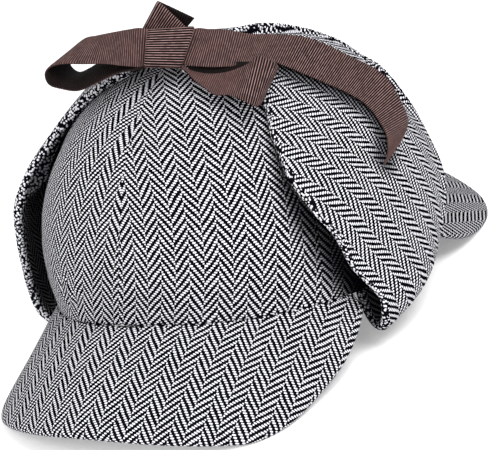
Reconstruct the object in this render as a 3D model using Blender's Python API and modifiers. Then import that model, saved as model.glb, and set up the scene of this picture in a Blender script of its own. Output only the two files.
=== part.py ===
"""Deerstalker hat: six crown gores, two peaks, two ear flaps folded up over the
crown, and the ribbon bow that ties them on top.

Metres, +Z up. The hat stands on the floor (z = 0) on the corners of its peaks.
The front of the hat looks along -Y and the wearer's left is +X.
"""
import bpy
import bmesh
import math
from mathutils import Vector

MM = 0.001

# Crown: an oval dome, measured to the middle of its cloth.
CROWN_HALF_WIDTH = 87.8 * MM
CROWN_HALF_LENGTH = 99.4 * MM
CROWN_TOP = 141.0 * MM          # height of the crown's top above the floor
RIM_FRONT_HEIGHT = 43.0 * MM    # height of the rim at the front and back centre
RIM_ARCH = 16.5 * MM            # how much lower the rim runs at the sides
DOME_FULLNESS = 2.02            # 2 is an ellipse; higher has squarer shoulders
DOME_BULGE_ENDS = 0.25          # how far the dome swells above its rim, front and back
DOME_BULGE_SIDES = 0.10
CROWN_CLOTH = 2.5 * MM
GORE_COUNT = 6
GORE_SEAM_GAP = 0.8 * MM
GORE_PUFF = 0.8 * MM            # each gore stands proud between its seams
GORE_TOP_CLIMB = 0.982          # the gores' tips stop just short of the top
CROWN_TWIST = -3.5              # degrees by which the seams lean towards -X at the rim

# Peaks: the front one, and the same one turned round at the back.
PEAK_REACH = 68.0               # degrees of the rim on each side of the centre
# side: -1 at the peak's -X end, 1 at its +X end. length: rim to outer edge, mm.
# slope: degrees below level.
PEAK_TABLE = (
    # side, length, slope
    (-1.0, 2.6, 59.0),
    (-0.75, 34.0, 49.6),
    (-0.4, 58.7, 36.0),
    (0.0, 60.0, 28.2),
    (0.4, 63.0, 34.3),
    (0.7, 38.5, 42.7),
    (1.0, 3.2, 64.0),
)
BACK_PEAK_STRETCH = 1.04
BACK_PEAK_LIFT = 1.4            # degrees less slope, so that both peaks meet the floor
PEAK_CAMBER = 1.6 * MM          # how far the peak bows up between rim and edge
PEAK_THICKNESS = 4.2 * MM
PEAK_ROUNDING = 1.3 * MM
SEAM_GAP = 0.5 * MM

# Ear flap: padded cloth that hangs from the side of the rim, turns up in a U
# and lies over the crown with its tip on top.
FLAP_THICKNESS = 5.0 * MM
FLAP_ROUNDING = 1.6 * MM
FLAP_TURN_FRONT = 17.0 * MM     # how far the U's middle line hangs below its hinge
FLAP_TURN_REAR = 4.5 * MM
FLAP_TURN_SHARE = 0.2           # share of the flap's rows that the U takes
# climb: degrees round the hat's length axis, 0 level with the rim's side.
# front, rear: where the flap's edges run, degrees fore and aft of straight out.
# The gaps are from the crown's outer face to the flap's outer face, in mm.
FLAP_TABLE = (
    # climb, front, rear, front_gap, middle_gap, rear_gap
    (0.0, -23.2, 15.3, 21.5, 18.1, 11.0),
    (14.0, -29.2, 28.4, 16.0, 13.5, 14.9),
    (28.0, -31.7, 33.0, 16.0, 10.9, 13.1),
    (56.0, -21.0, 37.2, 7.8, 7.2, 8.6),
    (82.5, -16.5, -7.0, 6.2, 6.2, 6.2),
)

# Ribbon: 25 mm grosgrain. The rows of a strip give the places of its back (or
# upper) edge and its front (or lower) edge in mm, in order along the ribbon.
RIBBON_THICKNESS = 1.0 * MM
TIE_START_CLIMB = 74.0          # where each tie is sewn to its flap's tip, degrees
TIE_END_CLIMB = 89.5            # where it goes under the knot
TIE_LIFT = 0.5 * MM
TIE_INSET = 0.12                # share of the tip's width left free on each side
KNOT_THICKNESS = 7.0 * MM
KNOT_ROUNDING = 2.2 * MM
KNOT_CORNERS = (
    # upper edge, lower edge
    ((7, -40, 163), (5, -49, 149)),
    ((26, -29, 159), (20, -39, 145)),
)
LOOP_RIGHT = (
    ((3, -37, 163), (2, -47, 148)),
    ((-8, -33, 162), (-2, -52, 151)),
    ((-21, -31, 160), (-15, -54, 153)),
    ((-30, -31, 158), (-28, -54, 154)),
    ((-36, -31, 157), (-39, -54, 154)),
    ((-41, -32, 155), (-43, -56, 152)),
    ((-45, -33, 152), (-44, -58, 150)),
    ((-45, -35, 147), (-41, -60, 146)),
    ((-41, -37, 144), (-34, -61, 144)),
    ((-32, -38, 144), (-26, -60, 143)),
    ((-22, -37, 147), (-17, -57, 145)),
    ((-12, -38, 151), (-7, -51, 147)),
    ((-1, -38, 156), (2, -47, 147)),
)
LOOP_LEFT = (
    ((23, -38, 144), (22, -41, 143)),
    ((27, -36, 141), (27, -44, 139)),
    ((33, -35, 140), (33, -45, 135)),
    ((40, -34, 140), (39, -46, 132)),
    ((45, -33, 141), (45, -47, 131)),
    ((51, -31, 142), (51, -48, 131)),
    ((56, -29, 144), (55, -48, 129)),
    ((60, -28, 143), (58, -47, 126)),
    ((62, -25, 141), (59, -47, 125)),
    ((60, -21, 136), (58, -44, 124)),
    ((55, -21, 135), (54, -43, 126)),
    ((51, -23, 136), (50, -42, 129)),
)
TAIL_LONG = (
    ((24, -25, 157), (21, -38, 145)),
    ((24, -16, 154), (28, -37, 143)),
    ((28, -10, 151), (35, -33, 141)),
    ((35, -2, 146), (42, -27, 139)),
    ((40, 6, 142), (47, -18, 137)),
    ((47, 13, 139), (54, -11, 133)),
    ((54, 17, 136), (61, -6, 127)),
    ((62, 21, 130), (69, -2, 120)),
    ((67, 28, 123), (76, 6, 112)),
    ((73, 33, 116), (80, 10, 106)),
    ((78, 35, 112), (84, 12, 101)),
    ((82, 36, 106), (88, 13, 95)),
    ((85, 37, 99), (90, 12, 91)),
    ((88, 37, 92), (92, 11, 88)),
    ((91, 35, 86), (94, 7, 85)),
    ((96, 14, 84), (95, 1, 83)),
    ((95, -4, 81), (95, -6, 80)),
)
TAIL_SHORT = (
    ((19, -28, 161), (12, -33, 161)),
    ((14, -30, 167), (8, -36, 163)),
    ((10, -30, 173), (5, -38, 164)),
    ((8, -29, 173), (3, -36, 164)),
    ((8, -27, 172), (3, -34, 163)),
    ((14, -24, 167), (9, -29, 161)),
    ((21, -21, 161), (16, -24, 159)),
)

CLOTH = ("herringbone_cloth", (0.33, 0.33, 0.36), 0.92)
RIBBON = ("brown_ribbon", (0.105, 0.062, 0.062), 0.7)


# ---------------------------------------------------------------- small tools
def between(a, b, share):
    return a + (b - a) * share


def smooth_column(rows, place, column):
    """Value of a table's column at a place in its first column, eased so that
    the curve through the rows has no corners and doesn't overshoot."""
    xs = [row[0] for row in rows]
    ys = [row[column] for row in rows]
    slopes = [(ys[i + 1] - ys[i]) / (xs[i + 1] - xs[i]) for i in range(len(xs) - 1)]
    tangents = [slopes[0]]
    for before, after in zip(slopes, slopes[1:]):
        same_way = before * after > 0
        tangents.append(2 * before * after / (before + after) if same_way else 0.0)
    tangents.append(slopes[-1])
    i = 0
    while i < len(xs) - 2 and place > xs[i + 1]:
        i += 1
    span = xs[i + 1] - xs[i]
    t = (place - xs[i]) / span
    return ((2 * t ** 3 - 3 * t ** 2 + 1) * ys[i]
            + (t ** 3 - 2 * t ** 2 + t) * span * tangents[i]
            + (3 * t ** 2 - 2 * t ** 3) * ys[i + 1]
            + (t ** 3 - t ** 2) * span * tangents[i + 1])


def make_material(name, colour, roughness):
    material = bpy.data.materials.get(name)
    if material is None:
        material = bpy.data.materials.new(name)
        material.use_nodes = True
        shader = material.node_tree.nodes["Principled BSDF"]
        shader.inputs["Base Color"].default_value = (*colour, 1.0)
        shader.inputs["Roughness"].default_value = roughness
        shader.inputs["Metallic"].default_value = 0.0
        material.diffuse_color = (*colour, 1.0)
    return material


def sheet(name, point, rows, columns, finish, collection):
    """An open sheet: point(u, v) for u and v from 0 to 1, rows along u."""
    mesh_data = bmesh.new()
    grid = [[mesh_data.verts.new(point(i / rows, j / columns)) for j in range(columns + 1)]
            for i in range(rows + 1)]
    for i in range(rows):
        for j in range(columns):
            corners = (grid[i][j], grid[i][j + 1], grid[i + 1][j + 1], grid[i + 1][j])
            mesh_data.faces.new(corners)
    mesh = bpy.data.meshes.new(name)
    mesh_data.to_mesh(mesh)
    mesh_data.free()
    mesh.shade_smooth()
    piece = bpy.data.objects.new(name, mesh)
    piece.data.materials.append(make_material(*finish))
    collection.objects.link(piece)
    return piece


def thicken(piece, thickness, offset=0.0):
    wall = piece.modifiers.new("wall", 'SOLIDIFY')
    wall.thickness = thickness
    wall.offset = offset


def round_edges(piece, width, segments):
    edge = piece.modifiers.new("rounded edge", 'BEVEL')
    edge.width = width
    edge.segments = segments
    edge.limit_method = 'ANGLE'
    edge.angle_limit = math.radians(50)


# ------------------------------------------------------------------ the crown
def side_rim_height():
    return RIM_FRONT_HEIGHT - RIM_ARCH


def dome_section(turn, climb):
    """Share of the dome's height and of its half width at a climb of 0 to 1."""
    rise = math.sin(climb * math.pi / 2) ** (2 / DOME_FULLNESS)
    bulge = between(DOME_BULGE_SIDES, DOME_BULGE_ENDS, math.cos(turn) ** 2)
    return rise, math.cos(climb * math.pi / 2) * (1 + bulge * rise)


def rim_height(turn):
    return RIM_FRONT_HEIGHT - RIM_ARCH * (1 - math.cos(2 * turn)) / 2


def rim_climb(turn):
    rise = (rim_height(turn) - side_rim_height()) / (CROWN_TOP - side_rim_height())
    return math.asin(max(rise, 0.0) ** (DOME_FULLNESS / 2)) * 2 / math.pi


def dome_point(turn, climb):
    """Middle of the crown's cloth. turn is 0 at the front, positive to +X."""
    rise, share = dome_section(turn, climb)
    return Vector((CROWN_HALF_WIDTH * share * math.sin(turn),
                   -CROWN_HALF_LENGTH * share * math.cos(turn),
                   between(side_rim_height(), CROWN_TOP, rise)))


def dome_normal(turn, climb):
    step = 1e-3
    low = max(climb - step, 1e-5)
    along_turn = dome_point(turn + step, climb) - dome_point(turn - step, climb)
    along_climb = dome_point(turn, low + 2 * step) - dome_point(turn, low)
    return along_turn.cross(along_climb).normalized()


def dome_distance(direction):
    """Distance from the middle of the side rim's level to the dome."""
    across = math.hypot(direction.x / CROWN_HALF_WIDTH, direction.y / CROWN_HALF_LENGTH)
    up = max(direction.z, 0.0) / (CROWN_TOP - side_rim_height())
    turn = math.atan2(direction.x / CROWN_HALF_WIDTH, -direction.y / CROWN_HALF_LENGTH)
    low, high = 0.0, 1.0
    for _ in range(40):
        climb = (low + high) / 2
        rise, share = dome_section(turn, climb)
        if rise * across < share * up:
            low = climb
        else:
            high = climb
    rise, share = dome_section(turn, (low + high) / 2)
    return share / across if across > up else rise / up


def make_gore(number, collection):
    start = math.radians(360 / GORE_COUNT) * (number - 1)
    width = math.radians(360 / GORE_COUNT)

    def point(u, v):
        turn = start + width * v + math.radians(CROWN_TWIST) * (1 - u) ** 2
        climb = between(rim_climb(turn), GORE_TOP_CLIMB, u)
        place = dome_point(turn, climb)
        radius = math.hypot(place.x, place.y)
        turn_in = GORE_SEAM_GAP / 2 / max(radius, GORE_SEAM_GAP) * (1 - 2 * v)
        puff = GORE_PUFF * math.sin(math.pi * v) * math.sin(math.pi * min(u * 2, 1) / 2)
        return dome_point(turn + turn_in, climb) + dome_normal(turn, climb) * puff

    gore = sheet("crown_panel_%d" % number, point, 11, 8, CLOTH, collection)
    thicken(gore, CROWN_CLOTH)
    return gore


# ------------------------------------------------------------------ the peaks
def peak_point(u, v, stretch, lift):
    """Middle of the front peak's thickness, u from rim to outer edge, v across."""
    side = 2 * v - 1
    turn = math.radians(PEAK_REACH) * side
    slope = math.radians(smooth_column(PEAK_TABLE, side, 2) - lift)
    length = smooth_column(PEAK_TABLE, side, 1) * MM * stretch
    rim = dome_point(turn, rim_climb(turn))
    rim += dome_normal(turn, rim_climb(turn)) * CROWN_CLOTH / 2
    out = Vector((math.sin(turn) / CROWN_HALF_WIDTH, -math.cos(turn) / CROWN_HALF_LENGTH, 0))
    out.normalize()
    up = Vector((0, 0, 1))
    along = out * math.cos(slope) - up * math.sin(slope)
    above = out * math.sin(slope) + up * math.cos(slope)
    share = length / (smooth_column(PEAK_TABLE, 0.0, 1) * MM)
    camber = PEAK_CAMBER * 4 * u * (1 - u) * share
    return rim + along * length * u + above * (camber - PEAK_THICKNESS / 2) - up * SEAM_GAP


def make_peak(name, front, floor_cutter, collection):
    def point(u, v):
        if front:
            return peak_point(u, v, 1.0, 0.0)
        place = peak_point(u, v, BACK_PEAK_STRETCH, BACK_PEAK_LIFT)
        return Vector((-place.x, -place.y, place.z))

    peak = sheet(name, point, 6, 28, CLOTH, collection)
    thicken(peak, PEAK_THICKNESS)
    round_edges(peak, PEAK_ROUNDING, 1)
    press = peak.modifiers.new("pressed on the floor", 'BOOLEAN')
    press.operation = 'DIFFERENCE'
    press.object = floor_cutter
    return peak


def make_floor_cutter(collection):
    bpy.ops.mesh.primitive_cube_add(size=1.0, location=(0, 0, -0.025))
    cutter = bpy.context.object
    cutter.name = "floor_cutter"
    cutter.scale = (0.5, 0.6, 0.05)
    cutter.hide_render = True
    cutter.display_type = 'WIRE'
    for owner in list(cutter.users_collection):
        owner.objects.unlink(cutter)
    collection.objects.link(cutter)
    return cutter


# -------------------------------------------------------------- the ear flaps
def flap_outer_leg(climb, v):
    """Middle of the flap's padding where it lies over the crown. Past the tip
    it goes on at the tip's width and height."""
    row_place = min(climb, FLAP_TABLE[-1][0])
    front = smooth_column(FLAP_TABLE, row_place, 1)
    rear = smooth_column(FLAP_TABLE, row_place, 2)
    front_gap, middle_gap, rear_gap = (smooth_column(FLAP_TABLE, row_place, column) * MM
                                       for column in (3, 4, 5))
    side = 2 * v - 1
    gap = (middle_gap * (1 - side * side) + front_gap * side * (side - 1) / 2
           + rear_gap * side * (side + 1) / 2)
    up, aft = math.radians(climb), math.radians(between(front, rear, v))
    direction = Vector((math.cos(up) * math.cos(aft), math.sin(aft),
                        math.sin(up) * math.cos(aft)))
    reach = dome_distance(direction) + CROWN_CLOTH / 2 + gap - FLAP_THICKNESS / 2
    return direction * reach + Vector((0, 0, side_rim_height()))


def flap_turn(share, v):
    """The U between the rim's edge (share 0) and the foot of the outer leg (1)."""
    outer = flap_outer_leg(0.0, v)
    turn = math.atan2(outer.x / CROWN_HALF_WIDTH, -outer.y / CROWN_HALF_LENGTH)
    inner = dome_point(turn, rim_climb(turn)) - Vector((0, 0, SEAM_GAP))
    middle = (inner + outer) / 2
    half = (outer - inner) / 2
    angle = math.pi * share
    depth = between(FLAP_TURN_FRONT, FLAP_TURN_REAR, v) * math.sin(angle)
    return middle - half * math.cos(angle) - Vector((0, 0, depth))


def flap_point(u, v):
    if u < FLAP_TURN_SHARE:
        return flap_turn(u / FLAP_TURN_SHARE, v)
    climb = (u - FLAP_TURN_SHARE) / (1 - FLAP_TURN_SHARE) * FLAP_TABLE[-1][0]
    return flap_outer_leg(climb, v)


def make_flap(name, side, collection):
    def point(u, v):
        place = flap_point(u, v if side > 0 else 1 - v)
        return Vector((place.x * side, place.y, place.z))

    flap = sheet(name, point, 30, 10, CLOTH, collection)
    thicken(flap, FLAP_THICKNESS)
    round_edges(flap, FLAP_ROUNDING, 1)
    return flap


# ----------------------------------------------------------------- the ribbon
def spline_point(points, place):
    """A smooth curve through points, place from 0 to 1 (Catmull-Rom)."""
    scaled = place * (len(points) - 1)
    i = min(int(scaled), len(points) - 2)
    t = scaled - i
    before = points[i - 1] if i > 0 else 2 * points[i] - points[i + 1]
    after = points[i + 2] if i + 2 < len(points) else 2 * points[i + 1] - points[i]
    return ((2 * points[i]
             + (points[i + 1] - before) * t
             + (2 * before - 5 * points[i] + 4 * points[i + 1] - after) * t ** 2
             + (3 * points[i] - before - 3 * points[i + 1] + after) * t ** 3) / 2)


def make_strip(name, rows, collection):
    back = [Vector(row[0]) * MM for row in rows]
    front = [Vector(row[1]) * MM for row in rows]

    def point(u, v):
        return spline_point(back, u).lerp(spline_point(front, u), v)

    strip = sheet(name, point, 3 * (len(rows) - 1), 2, RIBBON, collection)
    thicken(strip, RIBBON_THICKNESS)
    return strip


def make_knot(name, collection):
    def point(u, v):
        upper = Vector(KNOT_CORNERS[0][0]).lerp(Vector(KNOT_CORNERS[1][0]), v)
        lower = Vector(KNOT_CORNERS[0][1]).lerp(Vector(KNOT_CORNERS[1][1]), v)
        return upper.lerp(lower, u) * MM

    knot = sheet(name, point, 1, 1, RIBBON, collection)
    thicken(knot, KNOT_THICKNESS)
    round_edges(knot, KNOT_ROUNDING, 2)
    return knot


def make_tie(name, side, collection):
    """From the outer face of a flap's tip to the gap under the knot."""
    def point(u, v):
        climb = between(TIE_START_CLIMB, TIE_END_CLIMB, u)
        middle = flap_outer_leg(climb, between(TIE_INSET, 1 - TIE_INSET, v if side > 0 else 1 - v))
        out = (middle - Vector((0, 0, side_rim_height()))).normalized()
        place = middle + out * (FLAP_THICKNESS / 2 + TIE_LIFT + RIBBON_THICKNESS / 2)
        return Vector((place.x * side, place.y, place.z))

    tie = sheet(name, point, 8, 3, RIBBON, collection)
    thicken(tie, RIBBON_THICKNESS)
    return tie


# ------------------------------------------------------------------- assembly
def main():
    for thing in list(bpy.data.objects):
        bpy.data.objects.remove(thing)
    hat = bpy.data.collections.new("deerstalker_hat")
    cutters = bpy.data.collections.new("cutters")
    bpy.context.scene.collection.children.link(hat)
    bpy.context.scene.collection.children.link(cutters)

    for number in range(1, GORE_COUNT + 1):
        make_gore(number, hat)
    floor_cutter = make_floor_cutter(cutters)
    make_peak("front_peak", True, floor_cutter, hat)
    make_peak("back_peak", False, floor_cutter, hat)
    make_flap("left_ear_flap", 1, hat)
    make_flap("right_ear_flap", -1, hat)
    make_tie("ribbon_tie_left", 1, hat)
    make_tie("ribbon_tie_right", -1, hat)
    make_knot("ribbon_knot", hat)
    make_strip("ribbon_loop_right", LOOP_RIGHT, hat)
    make_strip("ribbon_loop_left", LOOP_LEFT, hat)
    make_strip("ribbon_tail_long", TAIL_LONG, hat)
    make_strip("ribbon_tail_short", TAIL_SHORT, hat)


main()
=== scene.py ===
"""A tweed deerstalker hat with its ear flaps tied up over the crown by a ribbon bow."""

import math

import bmesh
import bpy
import numpy as np
from mathutils import Matrix, Vector


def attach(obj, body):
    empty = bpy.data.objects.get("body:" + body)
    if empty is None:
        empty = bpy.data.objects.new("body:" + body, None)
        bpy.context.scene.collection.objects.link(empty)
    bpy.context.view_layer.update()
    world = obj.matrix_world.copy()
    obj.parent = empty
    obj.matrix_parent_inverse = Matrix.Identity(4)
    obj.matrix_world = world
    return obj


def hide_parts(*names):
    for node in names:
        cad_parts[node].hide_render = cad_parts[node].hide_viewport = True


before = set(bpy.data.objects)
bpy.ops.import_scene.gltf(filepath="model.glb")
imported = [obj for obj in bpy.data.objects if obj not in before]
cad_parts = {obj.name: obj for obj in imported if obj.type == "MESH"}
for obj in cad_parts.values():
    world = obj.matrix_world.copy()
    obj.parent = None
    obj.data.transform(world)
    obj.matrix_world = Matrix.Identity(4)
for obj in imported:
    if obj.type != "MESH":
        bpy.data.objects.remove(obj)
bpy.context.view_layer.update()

MM = 0.001

# ---------------------------------------------------------------- the photo and its camera

PHOTO_WIDTH = 490
PHOTO_HEIGHT = 450
CAMERA_TURN = 33.8
CAMERA_RISE = 20.5
CAMERA_ROLL = 13.8
CAMERA_DISTANCE = 1000.0
CAMERA_AIM = (13.1, -9.8, 50.6)
CAMERA_LENS = 149.9
CAMERA_SENSOR = 36.0

# ---------------------------------------------------------------- the hat's sizes, in mm

CROWN_HALF_WIDTH = 87.8
CROWN_HALF_LENGTH = 99.4
CROWN_TOP = 141.0
RIM_FRONT_HEIGHT = 43.0
RIM_ARCH = 16.5
SIDE_RIM_HEIGHT = RIM_FRONT_HEIGHT - RIM_ARCH
CROWN_CENTRE = np.array([0.0, 0.0, SIDE_RIM_HEIGHT])
DOME_FULLNESS = 2.02
DOME_BULGE_ENDS = 0.25
DOME_BULGE_SIDES = 0.10
CROWN_CLOTH = 2.5
SEAM_LEAN_RIM = -3.6
SEAM_LEAN_TOP = 3.1
SEAM_LEAN_SHARE = 0.4
GORE_COUNT = 6
NEAREST_CROWN = 20.0
FARTHEST_CROWN = 160.0
HALVINGS = 40

PEAK_REACH = 68.0
PEAK_TABLE = (  # side, length, slope
    (-1.0, 2.6, 59.0),
    (-0.75, 34.0, 49.6),
    (-0.4, 58.7, 36.0),
    (0.0, 60.0, 28.2),
    (0.4, 63.0, 34.3),
    (0.7, 38.5, 42.7),
    (0.9, 18.8, 48.0),
    (1.0, 7.5, 50.0),
)
BACK_PEAK_STRETCH = 1.065
BACK_PEAK_LIFT = 1.4
PEAK_CAMBER = 1.6
PEAK_THICKNESS = 4.2
SEAM_GAP = 0.5

FLAP_THICKNESS = 5.0
FLAP_TURN_FRONT = 17.0
FLAP_TURN_REAR = 4.5
FLAP_TURN_SHARE = 0.2
FLAP_GRAIN_PLACE = 0.6
FLAP_GRAIN_LEAN = -32.0
ROLLED_FOLD_SHADE = 0.55
BOW_SHADE_DEPTH = 0.58
BOW_SHADE_REACH = 12.5
# The long tail shades the flap from one of its rows on, and the left loop with one row.
TAIL_SHADE_ROW = 5
LOOP_SHADE_ROW = 8
FLAP_TIP_CLIMB = 82.5
FLAP_TABLE = (  # climb, front, rear, front gap, middle gap, rear gap
    (0.0, -23.2, 15.3, 21.5, 18.1, 11.0),
    (14.0, -29.2, 28.4, 16.0, 13.5, 14.9),
    (28.0, -31.7, 33.0, 16.0, 10.9, 13.1),
    (56.0, -21.0, 37.2, 7.8, 7.2, 8.6),
    (FLAP_TIP_CLIMB, -16.5, -7.0, 6.2, 6.2, 6.2),
)

# The left flap was tied up a little less neatly: climb, how much further back its front edge lies.
LEFT_FRONT_SHIFT = (
    (0.0, 0.0), (14.0, 0.8), (24.0, 2.0), (34.0, 0.0), (45.0, -2.8), (53.0, -1.6), (61.0, 3.2), (70.0, 2.0),
    (FLAP_TIP_CLIMB, 0.0),
)
# Near its front edge a flap's padding bulges in towards the crown: climbs it grows and fades over, width.
FLAP_BULGE = (34.0, 44.0, 72.0, 80.0)
FLAP_BULGE_WIDTH = 15.0
FLAP_BULGE_MOST = 6.0
FLAP_BULGE_GAP = 1.2
BULGE_SHADE = 0.7
BULGE_DARK = (0.2, 1.2)
# The left flap's rear hem rolls up and down: climb, height.
HEM_TABLE = (
    (-40.0, 0.0), (-5.0, 0.0), (6.0, 1.0), (16.0, 1.3), (28.0, 0.6), (42.0, 1.3), (51.0, 1.8), (57.0, 0.3),
    (64.0, -0.3), (69.0, 0.2), (72.0, 1.6), (76.0, 3.0), (80.0, 3.2), (FLAP_TIP_CLIMB, 3.0),
)
HEM_WIDTH = 10.0
HEM_HOLLOW = 1.8
# How much further off the crown each flap was laid: climb, left, right.
FLAP_SETTLE = (
    (0.0, -2.2, 0.8), (8.0, -1.4, 1.4), (18.0, -0.4, 0.8), (26.0, 0.0, 0.4), (36.0, 0.0, 1.3),
    (43.0, 0.0, 1.3), (51.0, 0.0, -0.6), (60.0, 0.0, -1.2), (70.0, 0.0, -1.2), (FLAP_TIP_CLIMB, 0.0, 0.0),
)
# How wide the bunched weave is along each flap's front edge and rear edge: climb, front, rear.
LEFT_BUNCHED = (
    (-40.0, 1.8, 1.8), (28.0, 1.8, 2.5), (40.0, 2.0, 4.0), (52.0, 2.0, 6.0), (66.0, 2.0, 5.5),
    (FLAP_TIP_CLIMB, 2.0, 6.0),
)
RIGHT_BUNCHED = ((-40.0, 3.5, 2.0), (30.0, 3.5, 2.0), (50.0, 10.0, 2.0), (FLAP_TIP_CLIMB, 10.0, 2.0))

RIBBON_WIDTH = 25.0
RIBBON_THICKNESS = 0.9
RIB_PITCH = 1.08
RIB_HEIGHT = 0.42
RIB_STEPS = 7
SELVEDGE_WIDTH = 0.9

# The bow as the photo shows it. A row has the strip's back or upper edge, then its front or lower
# edge. An edge is its place in the photo, in pixels from the upper left corner, and how many mm it
# is nearer to the camera than the camera's aim. An upper edge without that last number lies
# TAIL_WIDTH from the lower one, on the side away from the camera.
TAIL_WIDTH = 25.3
TAIL_FARTHEST = 5.0
TAIL_TRIALS = 800
KNOT_DEPTH = 7.0
# The knot's band is wrapped between these angles, and rises by KNOT_LAP mm a degree over its own end.
KNOT_WRAP_START = -200
KNOT_WRAP_END = 186
KNOT_LAP = 0.001
KNOT_ROWS = 40
KNOT_SEEN = (
    ((147.5, 31.5, 60), (144, 65, 61)),
    ((194.5, 28.5, 60), (182, 66, 60)),
)
LOOP_RIGHT_SEEN = (
    ((168, 34, 56), (163, 64, 57)),
    ((143, 28, 55), (140, 67, 57)),
    ((128, 29.5, 47), (124, 66, 59)),
    ((110, 33, 37), (104, 64, 55)),
    ((97, 36, 32), (83, 64, 50)),
    ((87, 38.3, 28.5), (62, 64, 44.5)),
    ((77, 46, 26), (50, 67.5, 42)),
    ((70, 55, 24), (45, 75, 42)),
    ((71, 66, 24), (49, 84.5, 44)),
    ((80, 72.5, 26.5), (61, 88.5, 47.5)),
    ((91, 68, 32), (78, 90.5, 50.5)),
    ((104, 60, 38), (97, 82.5, 54)),
    ((121, 54, 44), (118, 73, 55)),
    ((140, 44, 51.5), (140, 69.5, 57)),
    ((162, 44, 54), (162, 64, 56)),
)
LOOP_LEFT_SEEN = (
    ((178, 60, 58), (176, 66, 59)),
    ((188, 69.5, 60), (185.5, 71, 61.5)),
    ((199, 73, 60.5), (193.5, 79.5, 65)),
    ((211, 74, 62.5), (204.5, 88, 68)),
    ((225, 72.5, 65), (215, 95, 71)),
    ((238, 68.5, 67.5), (228, 95.2, 74.5)),
    ((250, 62.5, 69.5), (238, 98.5, 77.5)),
    ((259, 55.5, 71), (247, 102.5, 79.5)),
    ((267, 58.5, 70.5), (254, 106, 79.5)),
    ((275, 62.5, 68), (256.5, 106.5, 78)),
    ((277.5, 66, 62.5), (258.5, 104, 74.5)),
    ((268, 64, 58), (252, 97, 72.5)),
    ((250, 62, 58), (238, 91, 71.5)),
    ((230, 62, 58), (220, 84, 62.5)),
    ((210, 62, 58.2), (203, 79, 60)),
    ((190, 62, 58), (187, 70, 58.5)),
)
TAIL_LONG_SEEN = (
    ((180, 33, 56), (172, 62, 57)),
    ((197, 28, 55), (185, 65.5, 59)),
    ((209, 29, 47), (199.5, 66.5, 61)),
    ((224, 29.5, 43), (215, 67, 61)),
    ((247, 33.5), (237, 66, 59.5)),
    ((266, 34.5), (255, 62.5, 55.5)),
    ((286, 35), (273, 62, 53)),
    ((306, 37.5), (289.5, 68, 51)),
    ((327, 45), (308, 75.5, 49.5)),
    ((345, 54), (325.5, 83, 47.5)),
    ((363, 62.5), (342, 90, 44.5)),
    ((376, 69.5), (354, 96.5, 41.7)),
    ((387, 79), (364, 103, 39.8)),
    ((396, 92), (373, 112, 38.8)),
    ((403, 106), (380, 122, 39)),
    ((407, 117), (385, 130.5, 39.5)),
    ((407.5, 126), (387.5, 139.5, 42)),
    ((404, 136, 30), (388, 149, 45)),
    ((398, 146, 39), (387, 157, 48)),
    ((386, 161.5, 49), (384, 164.5, 51.5)),
)
TAIL_SHORT_SEEN = (
    ((186, 34, 57.5), (170, 58, 57.5)),
    ((185, 26, 57.5), (160, 58, 55)),
    ((172.5, 14, 57.5), (150, 47, 52)),
    ((160.3, 2.3, 57.5), (140.5, 39.5, 49)),
    ((159.3, 1.4, 56), (139.5, 38.5, 47.5)),
    ((161.5, 2.4, 54.5), (145, 38.5, 46.5)),
    ((177, 9.5, 53.5), (167, 38, 48)),
    ((194.8, 18, 52.5), (184, 31, 50)),
)
TIE_START_CLIMB = 74.0
TIE_LEAVE_CLIMB = 81.0
TIE_INSET = 0.12
TIE_LIFT = 0.5
# Each tie's last rows, gathered into the back of the knot.
TIE_LEFT_END = (
    ((12.5, -35.5, 148.2), (9.5, -17.5, 149.6)),
    ((12.5, -38.0, 149.6), (8.5, -26.0, 152.0)),
    ((13.5, -39.0, 150.6), (11.5, -33.0, 154.0)),
)
TIE_RIGHT_END = (
    ((-6.0, -36.0, 148.4), (-7.0, -17.5, 149.6)),
    ((2.0, -39.0, 150.2), (-0.5, -26.0, 152.0)),
    ((8.5, -40.5, 151.2), (8.0, -33.5, 154.4)),
)

# The weave: one herringbone repeat is two columns.
COLUMN_WIDTH = 6.6
WARP_PITCH = 0.825
PICK_PITCH = 1.05


# ---------------------------------------------------------------- small helpers


def between(a, b, share):
    return a + (b - a) * share


def stack(x, y, z):
    return np.stack(np.broadcast_arrays(x, y, z), -1).astype(float)


def unit(v):
    return v / np.maximum(np.linalg.norm(v, axis=-1, keepdims=True), 1e-12)


def smooth_column(rows, place, column):
    """A smooth curve through a table's column against its first, without overshoot."""
    x = np.array([row[0] for row in rows], float)
    y = np.array([row[column] for row in rows], float)
    steps = np.diff(y) / np.diff(x)
    slope = np.zeros(len(x))
    for i in range(1, len(x) - 1):
        a, b = steps[i - 1], steps[i]
        slope[i] = 2 * a * b / (a + b) if a * b > 0 else 0.0
    slope[0], slope[-1] = steps[0], steps[-1]
    place = np.asarray(place, float)
    i = np.clip(np.searchsorted(x, place) - 1, 0, len(x) - 2)
    width = x[i + 1] - x[i]
    t = np.clip((place - x[i]) / width, 0, 1)
    return (
        y[i] * (1 + 2 * t) * (1 - t) ** 2
        + slope[i] * width * t * (1 - t) ** 2
        + y[i + 1] * t * t * (3 - 2 * t)
        + slope[i + 1] * width * t * t * (t - 1)
    )


def spline(rows, count):
    """A smooth curve through rows of points (Catmull-Rom), sampled count times a row."""
    rows = np.asarray(rows, float)
    padded = np.concatenate([[2 * rows[0] - rows[1]], rows, [2 * rows[-1] - rows[-2]]])
    t = np.linspace(0, len(rows) - 1, (len(rows) - 1) * count + 1)
    i = np.clip(t.astype(int), 0, len(rows) - 2)
    f = (t - i).reshape((-1,) + (1,) * (rows.ndim - 1))
    p0, p1, p2, p3 = (padded[i + k] for k in range(4))
    return 0.5 * (
        2 * p1 + (p2 - p0) * f + (2 * p0 - 5 * p1 + 4 * p2 - p3) * f**2 + (3 * p1 - p0 - 3 * p2 + p3) * f**3
    )


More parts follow.
